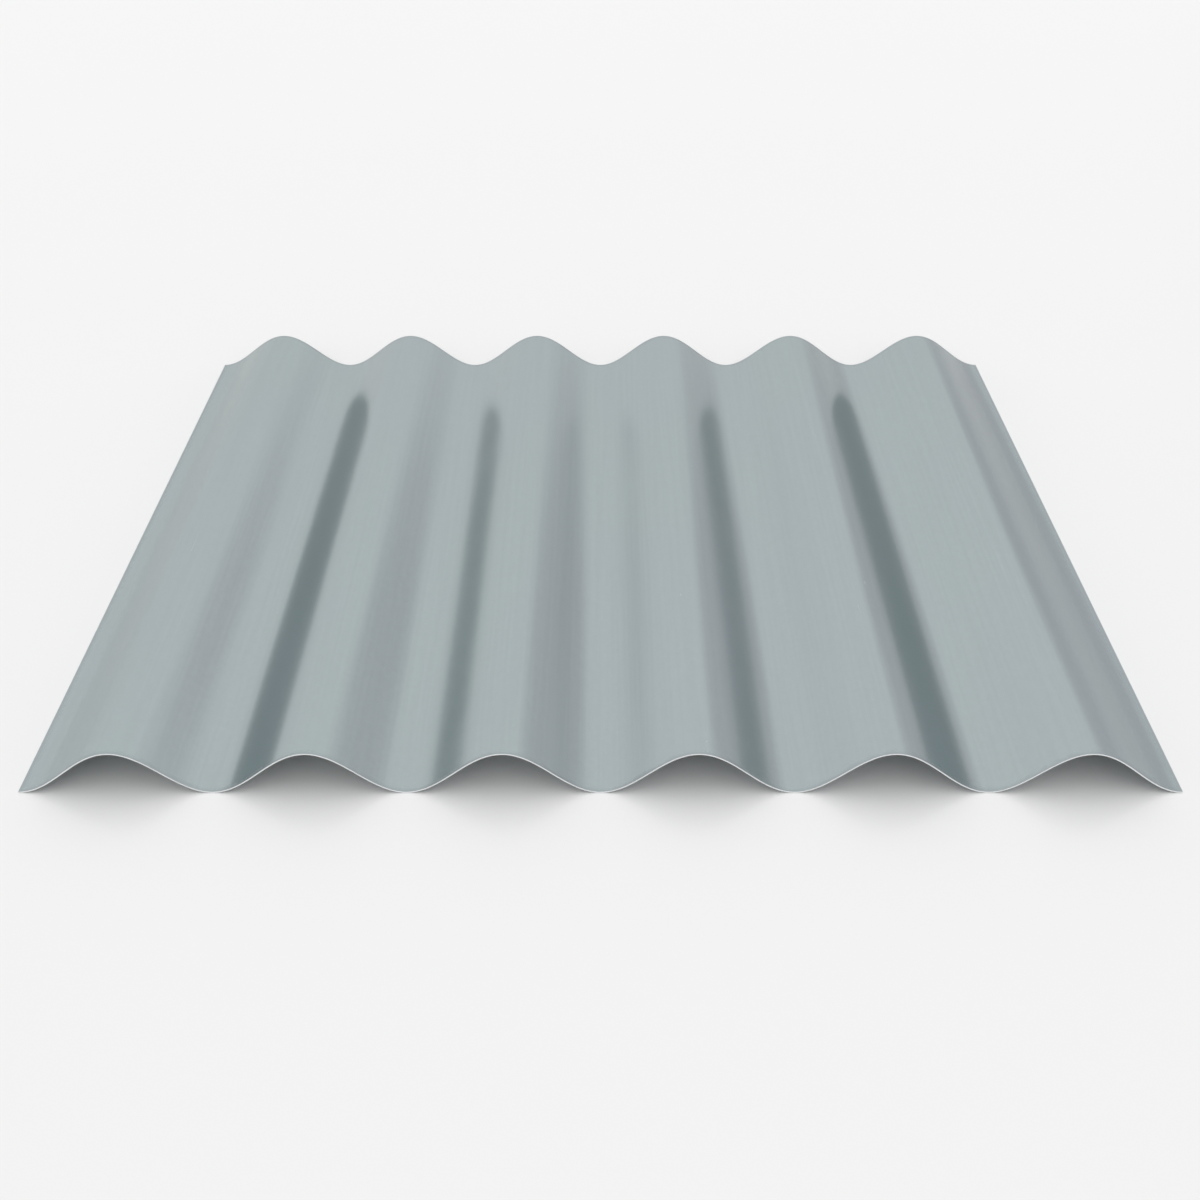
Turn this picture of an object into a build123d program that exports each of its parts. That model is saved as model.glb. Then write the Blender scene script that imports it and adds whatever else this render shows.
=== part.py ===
"""A short panel of corrugated sheet steel, rolled from one flat blank.

Six round corrugations run along Y. The panel lies on its valleys on a level floor, with both
of its side edges down. The origin is at floor level under the middle of the panel, X runs
across the corrugations and Z is up. Sizes are in millimetres.
"""

import os
from math import cos, radians, sin, tan

from build123d import *

corrugation_count = 6
corrugation_pitch = 76.2  # crest to crest
corrugation_depth = 19.05  # valley to crest, on one face of the sheet
flank_angle = 36.0  # slope in degrees of the straight flank between two bends
sheet_thickness = 0.5
sheet_length = 400.0  # along the corrugations

sheet_width = corrugation_count * corrugation_pitch

# From valley to crest the underside runs round half a valley bend, up a straight flank and round
# half a crest bend. Its width and rise give the sum of the two radii and the length of the flank.
slope = radians(flank_angle)
both_radii = (corrugation_pitch / 2 * tan(slope) - corrugation_depth) / (1 / cos(slope) - 1)
flank_length = (corrugation_pitch / 2 - both_radii * sin(slope)) / cos(slope)

# Every bend has the same inside radius, so the underside's valleys are rounder by the thickness.
crest_radius = (both_radii - sheet_thickness) / 2
valley_radius = (both_radii + sheet_thickness) / 2


def flank(bend):
    """The straight run that leaves a bend along its tangent."""
    return Line(bend @ 1, bend @ 1 + (bend % 1) * flank_length)


with BuildPart() as corrugated_sheet:
    with BuildSketch(Plane.XZ):
        with BuildLine():
            # The left edge is at the bottom of a valley, so the sheet starts level there.
            edge_bend = JernArc(
                start=(-sheet_width / 2, 0), tangent=(1, 0), radius=valley_radius, arc_size=flank_angle
            )
            rising = flank(edge_bend)
            for crest_number in range(corrugation_count):
                crest = JernArc(rising @ 1, rising % 1, crest_radius, -2 * flank_angle)
                falling = flank(crest)
                if crest_number < corrugation_count - 1:
                    valley = JernArc(falling @ 1, falling % 1, valley_radius, 2 * flank_angle)
                    rising = flank(valley)
            JernArc(falling @ 1, falling % 1, valley_radius, flank_angle)
            offset(amount=sheet_thickness, side=Side.LEFT)
        make_face()
    extrude(amount=sheet_length / 2, both=True)

corrugated_sheet.part.label = "corrugated_sheet"

os.makedirs("parts", exist_ok=True)
export_step(corrugated_sheet.part, "parts/corrugated_sheet.step")
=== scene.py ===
import math

import bmesh
import bpy
from mathutils import Matrix, Vector


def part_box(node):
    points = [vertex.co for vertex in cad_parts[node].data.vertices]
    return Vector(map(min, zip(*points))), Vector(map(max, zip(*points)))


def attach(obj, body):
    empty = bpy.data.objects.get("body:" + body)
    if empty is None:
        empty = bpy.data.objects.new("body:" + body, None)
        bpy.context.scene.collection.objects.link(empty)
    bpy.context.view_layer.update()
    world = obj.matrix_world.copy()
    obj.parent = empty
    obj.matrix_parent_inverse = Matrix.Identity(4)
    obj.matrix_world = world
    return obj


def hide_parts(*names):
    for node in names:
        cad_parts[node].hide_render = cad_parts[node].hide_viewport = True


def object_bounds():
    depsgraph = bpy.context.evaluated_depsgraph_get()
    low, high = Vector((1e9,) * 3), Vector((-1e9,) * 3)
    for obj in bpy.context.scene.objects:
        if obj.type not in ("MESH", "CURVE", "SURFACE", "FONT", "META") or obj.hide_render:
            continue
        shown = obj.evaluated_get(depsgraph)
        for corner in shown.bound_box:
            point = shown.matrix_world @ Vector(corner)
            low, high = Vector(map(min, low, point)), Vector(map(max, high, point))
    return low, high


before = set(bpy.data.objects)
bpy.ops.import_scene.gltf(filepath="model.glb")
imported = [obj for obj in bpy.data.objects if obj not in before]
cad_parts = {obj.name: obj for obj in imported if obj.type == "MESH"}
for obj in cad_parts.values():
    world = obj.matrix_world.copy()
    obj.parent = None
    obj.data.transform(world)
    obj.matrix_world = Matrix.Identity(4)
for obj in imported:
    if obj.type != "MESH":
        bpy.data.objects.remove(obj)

cad_low, cad_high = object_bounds()

# The sheet, in metres. Its width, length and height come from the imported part.
CORRUGATION_COUNT = 6
SHEET_THICKNESS = 0.0005
SHORT_OF_PART = 0.00001  # keeps the finished sheet inside the part's own box
EDGE_ROUNDING = 0.00006  # radius that the shears leave on a cut edge
STEPS_PER_CORRUGATION = 64
LENGTH_STEPS = 32
EDGE_STEPS = 2
CUT_CORNER = math.radians(60)  # the surface turns more than this only at a cut edge
CREASE = math.radians(20)  # smaller turns are shaded smooth
CUT_FACE_WIDTH = 1.1 * SHEET_THICKNESS  # only the faces of a cut edge are narrower
SHEARED_SLOT = 1  # place of the sheared steel among the sheet's materials

# The camera, as the photograph was taken: in front of the sheet, looking down at it.
CAMERA_PLACE = Vector((-0.0002, -0.6667, 0.3949))
CAMERA_TILT = math.radians(33.12)  # below level
SENSOR_WIDTH = 36.0  # in millimetres, as the lens is
LENS = 46.36
NEAREST_SEEN = 0.01
FARTHEST_SEEN = 100.0

# Patterns in the metal. A scale is in cells per metre, and a stretch draws the cells out along Y.
ZINC_LINE_SCALE = 700.0
SHEARED_LINE_SCALE = 2500.0
LINE_STRETCH = (1, 0.012, 1)
CLOUD_SCALE = 14.0
CLOUD_STRETCH = (1, 0.35, 1)
WAVE_SCALE = 45.0
WAVE_STRETCH = (1, 0.45, 1)
CRYSTAL_SCALE = 420.0
SCRATCH_SCALE = 240.0
SCRATCH_STRETCH = (1, 0.05, 1)
CUT_WEAR_SCALE = 260.0
CUT_WEAR_WIDTH = 0.005  # how far from a cut the zinc is dulled
SCUFFED_FROM = 0.75  # share of the sheet's height above which the crests are scuffed
WAVE_HEIGHT = 0.0001
LINE_HEIGHT = 0.00002
ZINC_ROUGHNESS = (0.195, 0.225)
SHEARED_ROUGHNESS = (0.35, 0.5)

# Colours are linear.
ZINC_GREENISH = (0.396, 0.454, 0.460)
ZINC_BLUISH = (0.399, 0.451, 0.466)
ZINC_AT_GRAZING = (0.775, 0.79, 0.79)  # share of the plain Fresnel brightness that is left there
BARE_STEEL = (0.90, 0.91, 0.92)
FLOOR_COLOUR = (0.90, 0.90, 0.90)
FLOOR_ROUGHNESS = 0.25
FLOOR_HALF_WIDTH = 30.0
BACKDROP_COLOUR = (0.948, 0.948, 0.948)  # as bright as the floor is at the horizon
STUDIO_WHITE = (1.0, 1.0, 1.0)
STUDIO_GREY = (0.778, 0.762, 0.785)

# Where the studio is grey: bearings are from straight behind the sheet, positive to the right.
GREY_FROM_LEFT = (math.radians(20), math.radians(29))
GREY_FROM_RIGHT = (math.radians(62), math.radians(44))
GREY_FROM_ABOVE = (math.radians(35), math.radians(19))


# The mesh

def rolled_grid(bm, width, length, depth):
    """The underside: a flat blank in fine steps, raised to the wave that the rolls give it."""
    # A grid of size 0.5 is one metre square, and the matrix gives it the sheet's width and length.
    shape = bmesh.ops.create_grid(
        bm, x_segments=CORRUGATION_COUNT * STEPS_PER_CORRUGATION, y_segments=LENGTH_STEPS, size=0.5,
        matrix=Matrix.Diagonal((width, length, 1.0, 1.0)),
    )
    for vert in shape["verts"]:
        corrugations = (vert.co.x + width / 2) / width * CORRUGATION_COUNT
        vert.co.z = depth / 2 * (1 - math.cos(2 * math.pi * corrugations))


def corrugated_sheet():
    """The underside made into sheet of an even thickness, with its cut edges slightly rounded."""
    low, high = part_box("corrugated_sheet")
    width, length, height = high - low - 2 * Vector((SHORT_OF_PART,) * 3)

    bm = bmesh.new()
    rolled_grid(bm, width, length, height - SHEET_THICKNESS)
    bmesh.ops.reverse_faces(bm, faces=bm.faces[:])
    bmesh.ops.solidify(bm, geom=bm.faces[:], thickness=SHEET_THICKNESS)
    for vert in bm.verts:
        vert.co.x = max(-width / 2, min(vert.co.x, width / 2))  # square side edges
    bmesh.ops.translate(bm, verts=bm.verts[:], vec=(0, 0, low.z + SHORT_OF_PART))

    cut_edges = [edge for edge in bm.edges if edge.calc_face_angle() > CUT_CORNER]
    for face in bm.faces:
        if min(edge.calc_length() for edge in face.edges) < CUT_FACE_WIDTH:
            face.material_index = SHEARED_SLOT
    rounded = bmesh.ops.bevel(
        bm, geom=cut_edges, offset=EDGE_ROUNDING, offset_type="OFFSET", segments=EDGE_STEPS,
        profile=0.5, affect="EDGES", material=-1, clamp_overlap=True,
    )
    for face in rounded["faces"]:
        face.material_index = SHEARED_SLOT
    for face in bm.faces:
        face.smooth = True

    mesh = bpy.data.meshes.new("dressed_sheet")
    bm.to_mesh(mesh)
    bm.free()
    mesh.set_sharp_from_angle(angle=CREASE)
    sheet = bpy.data.objects.new("dressed_sheet", mesh)
    bpy.context.scene.collection.objects.link(sheet)
    return sheet


# Shader node helpers

class Nodes:
    """Adds nodes to one tree and joins them."""

    def __init__(self, tree):
        self.tree = tree

    def add(self, kind, settings=None, **inputs):
        node = self.tree.nodes.new(kind)
        for name, value in (settings or {}).items():
            setattr(node, name, value)
        for name, value in inputs.items():
            self.join(value, node.inputs[name.replace("_", " ")])
        return node

    def join(self, value, socket):
        if isinstance(value, bpy.types.NodeSocket):
            self.tree.links.new(value, socket)
        else:
            socket.default_value = value

    def math(self, operation, first, second=0.0):
        node = self.tree.nodes.new("ShaderNodeMath")
        node.operation = operation
        self.join(first, node.inputs[0])
        self.join(second, node.inputs[1])
        return node.outputs[0]

    def ramp(self, value, low, high, out_low=0.0, out_high=1.0):
        node = self.add("ShaderNodeMapRange", {"interpolation_type": "SMOOTHSTEP"}, Value=value)
        node.inputs["From Min"].default_value = low
        node.inputs["From Max"].default_value = high
        node.inputs["To Min"].default_value = out_low
        node.inputs["To Max"].default_value = out_high
        return node.outputs[0]

    def mix(self, share, first, second, blend="MIX"):
        # A Mix node's colour sockets come after those for numbers and vectors.
        node = self.add("ShaderNodeMix", {"data_type": "RGBA", "blend_type": blend})
        self.join(share, node.inputs[0])
        self.join(first, node.inputs[6])
        self.join(second, node.inputs[7])
        return node.outputs[2]

    def noise(self, vector, scale, stretch=(1, 1, 1), detail=2.0, roughness=0.5):
        mapping = self.add("ShaderNodeMapping", Vector=vector)
        mapping.inputs["Scale"].default_value = stretch
        node = self.add("ShaderNodeTexNoise", Vector=mapping.outputs[0], Scale=scale, Detail=detail)
        node.inputs["Roughness"].default_value = roughness
        return node.outputs[0]


def opaque(colour):
    return (*colour, 1.0)


def new_material(name):
    material = bpy.data.materials.new(name)
    material.use_nodes = True
    nodes = Nodes(material.node_tree)
    shader = material.node_tree.nodes["Principled BSDF"]
    return material, nodes, shader


# Finishes

def rolled_grain():
    """Fine lines and slow waves that the rolls leave along the sheet, and clouds of the coating."""
    group = bpy.data.node_groups.new("rolled_grain", "ShaderNodeTree")
    group.interface.new_socket("Place", in_out="INPUT", socket_type="NodeSocketVector")
    group.interface.new_socket("Line Scale", in_out="INPUT", socket_type="NodeSocketFloat")
    for name in ("Lines", "Clouds", "Waves"):
        group.interface.new_socket(name, in_out="OUTPUT", socket_type="NodeSocketFloat")
    nodes = Nodes(group)
    given = nodes.add("NodeGroupInput")
    put_out = nodes.add("NodeGroupOutput")
    place = given.outputs["Place"]
    line_scale = given.outputs["Line Scale"]
    lines = nodes.noise(place, line_scale, LINE_STRETCH, detail=3.0, roughness=0.6)
    nodes.join(lines, put_out.inputs["Lines"])
    clouds = nodes.noise(place, CLOUD_SCALE, CLOUD_STRETCH, detail=3.0, roughness=0.55)
    nodes.join(clouds, put_out.inputs["Clouds"])
    waves = nodes.noise(place, WAVE_SCALE, WAVE_STRETCH, detail=1.0, roughness=0.5)
    nodes.join(waves, put_out.inputs["Waves"])
    return group


def laid_grain(nodes, grain, place, line_scale):
    """The rolled grain placed in a material, as its masks by name."""
    return nodes.add(
        "ShaderNodeGroup", {"node_tree": grain}, Place=place, Line_Scale=line_scale
    ).outputs


def grey(nodes, value):
    return nodes.add("ShaderNodeCombineColor", Red=value, Green=value, Blue=value).outputs[0]


def zinc_coated_steel(grain):
    """Smooth satin zinc with faint crystals, scuffed on the crests and dulled along its cut edges."""
    material, nodes, shader = new_material("zinc_coated_steel")
    place = nodes.add("ShaderNodeTexCoord").outputs["Object"]
    rolled = laid_grain(nodes, grain, place, ZINC_LINE_SCALE)
    crystals = nodes.add("ShaderNodeTexVoronoi", Vector=place, Scale=CRYSTAL_SCALE)
    crystal = nodes.add("ShaderNodeSeparateColor", Color=crystals.outputs["Color"]).outputs[0]
    across, along, up = nodes.add("ShaderNodeSeparateXYZ", Vector=place).outputs

    from_side = nodes.math("SUBTRACT", cad_high.x, nodes.math("ABSOLUTE", across))
    from_end = nodes.math("SUBTRACT", cad_high.y, nodes.math("ABSOLUTE", along))
    from_cut = nodes.math("MINIMUM", from_side, from_end)
    ragged = nodes.math("MULTIPLY", nodes.noise(place, CUT_WEAR_SCALE), CUT_WEAR_WIDTH)
    cut_wear = nodes.ramp(nodes.math("DIVIDE", from_cut, ragged), 1.2, 0.2)
    on_crest = nodes.ramp(up, SCUFFED_FROM * cad_high.z, cad_high.z)
    scratches = nodes.noise(place, SCRATCH_SCALE, SCRATCH_STRETCH, detail=4.0, roughness=0.65)
    scuff = nodes.math("MULTIPLY", on_crest, nodes.ramp(scratches, 0.6, 0.72))

    cloud_share = nodes.ramp(rolled["Clouds"], 0.35, 0.65)
    colour = nodes.mix(cloud_share, opaque(ZINC_GREENISH), opaque(ZINC_BLUISH))
    streaks = nodes.ramp(rolled["Lines"], 0.25, 0.75)
    # Each mask darkens or lightens the zinc between its two shades.
    for mask, bare, full in (
        (streaks, 0.988, 1.012),
        (crystal, 0.992, 1.008),
        (cut_wear, 1.0, 0.93),
        (scuff, 1.0, 1.03),
    ):
        shade = grey(nodes, nodes.ramp(mask, 0.0, 1.0, bare, full))
        colour = nodes.mix(1.0, colour, shade, "MULTIPLY")
    nodes.join(colour, shader.inputs["Base Color"])

    roughness = nodes.ramp(rolled["Clouds"], 0.3, 0.7, *ZINC_ROUGHNESS)
    for mask, change in ((crystal, 0.01), (cut_wear, 0.12), (scuff, 0.05)):
        roughness = nodes.math("ADD", roughness, nodes.ramp(mask, 0.0, 1.0, 0.0, change))
    nodes.join(roughness, shader.inputs["Roughness"])

    waves = nodes.add("ShaderNodeBump", Height=rolled["Waves"], Strength=1.0, Distance=WAVE_HEIGHT)
    lines = nodes.add("ShaderNodeBump", Height=rolled["Lines"], Strength=0.1, Distance=LINE_HEIGHT)
    nodes.join(waves.outputs[0], lines.inputs["Normal"])
    nodes.join(lines.outputs[0], shader.inputs["Normal"])
    shader.inputs["Metallic"].default_value = 1.0
    shader.inputs["Specular Tint"].default_value = opaque(ZINC_AT_GRAZING)
    return material


def sheared_steel(grain):
    """The bright rim where the shears cut through the sheet."""
    material, nodes, shader = new_material("sheared_steel")
    place = nodes.add("ShaderNodeTexCoord").outputs["Object"]
    rolled = laid_grain(nodes, grain, place, SHEARED_LINE_SCALE)
    shade = grey(nodes, nodes.ramp(rolled["Lines"], 0.3, 0.7, 0.92, 1.05))
    colour = nodes.mix(1.0, opaque(BARE_STEEL), shade, "MULTIPLY")
    nodes.join(colour, shader.inputs["Base Color"])
    roughness = nodes.ramp(rolled["Lines"], 0.3, 0.7, *SHEARED_ROUGHNESS)
    nodes.join(roughness, shader.inputs["Roughness"])
    shader.inputs["Metallic"].default_value = 1.0
    return material


def pale_floor():
    """A plain floor with the slight sheen of paint, which the outer flanks mirror at a low angle."""
    material, _, shader = new_material("pale_floor")
    shader.inputs["Base Color"].default_value = opaque(FLOOR_COLOUR)
    shader.inputs["Roughness"].default_value = FLOOR_ROUGHNESS
    return material


# The studio

def floor():
    bm = bmesh.new()
    bmesh.ops.create_grid(bm, x_segments=1, y_segments=1, size=FLOOR_HALF_WIDTH)
    mesh = bpy.data.meshes.new("floor")
    bm.to_mesh(mesh)
    bm.free()
    mesh.materials.append(pale_floor())
    plane = bpy.data.objects.new("floor", mesh)
    bpy.context.scene.collection.objects.link(plane)


def studio_world():
    """White light from all round, a little greyer low down behind the right side of the sheet."""
    world = bpy.data.worlds.new("studio")
    world.use_nodes = True
    nodes = Nodes(world.node_tree)
    background = world.node_tree.nodes["Background"]
    direction = nodes.add("ShaderNodeTexCoord").outputs["Generated"]
    right, back, up = nodes.add("ShaderNodeSeparateXYZ", Vector=direction).outputs
    bearing = nodes.math("ARCTAN2", right, back)
    elevation = nodes.math("ARCSINE", up)
    share = nodes.ramp(bearing, *GREY_FROM_LEFT)
    share = nodes.math("MULTIPLY", share, nodes.ramp(bearing, *GREY_FROM_RIGHT))
    share = nodes.math("MULTIPLY", share, nodes.ramp(elevation, *GREY_FROM_ABOVE))
    light = nodes.mix(share, opaque(STUDIO_WHITE), opaque(STUDIO_GREY))

    # Only the camera sees the backdrop's plain colour. The light stays as it is.
    seen = nodes.add("ShaderNodeLightPath").outputs["Is Camera Ray"]
    nodes.join(nodes.mix(seen, light, opaque(BACKDROP_COLOUR)), background.inputs["Color"])
    background.inputs["Strength"].default_value = 1.0
    bpy.context.scene.world = world


def camera():
    data = bpy.data.cameras.new("camera")
    data.sensor_width = SENSOR_WIDTH
    data.lens = LENS
    data.clip_start = NEAREST_SEEN
    data.clip_end = FARTHEST_SEEN
    taken_from = bpy.data.objects.new("camera", data)
    bpy.context.scene.collection.objects.link(taken_from)
    taken_from.location = CAMERA_PLACE
    taken_from.rotation_euler = (math.pi / 2 - CAMERA_TILT, 0, 0)
    bpy.context.scene.camera = taken_from


bpy.context.scene.view_settings.view_transform = "Standard"
camera()
studio_world()
floor()

grain = rolled_grain()
sheet = corrugated_sheet()
sheet.data.materials.append(zinc_coated_steel(grain))
sheet.data.materials.append(sheared_steel(grain))
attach(sheet, "root")
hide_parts("corrugated_sheet")
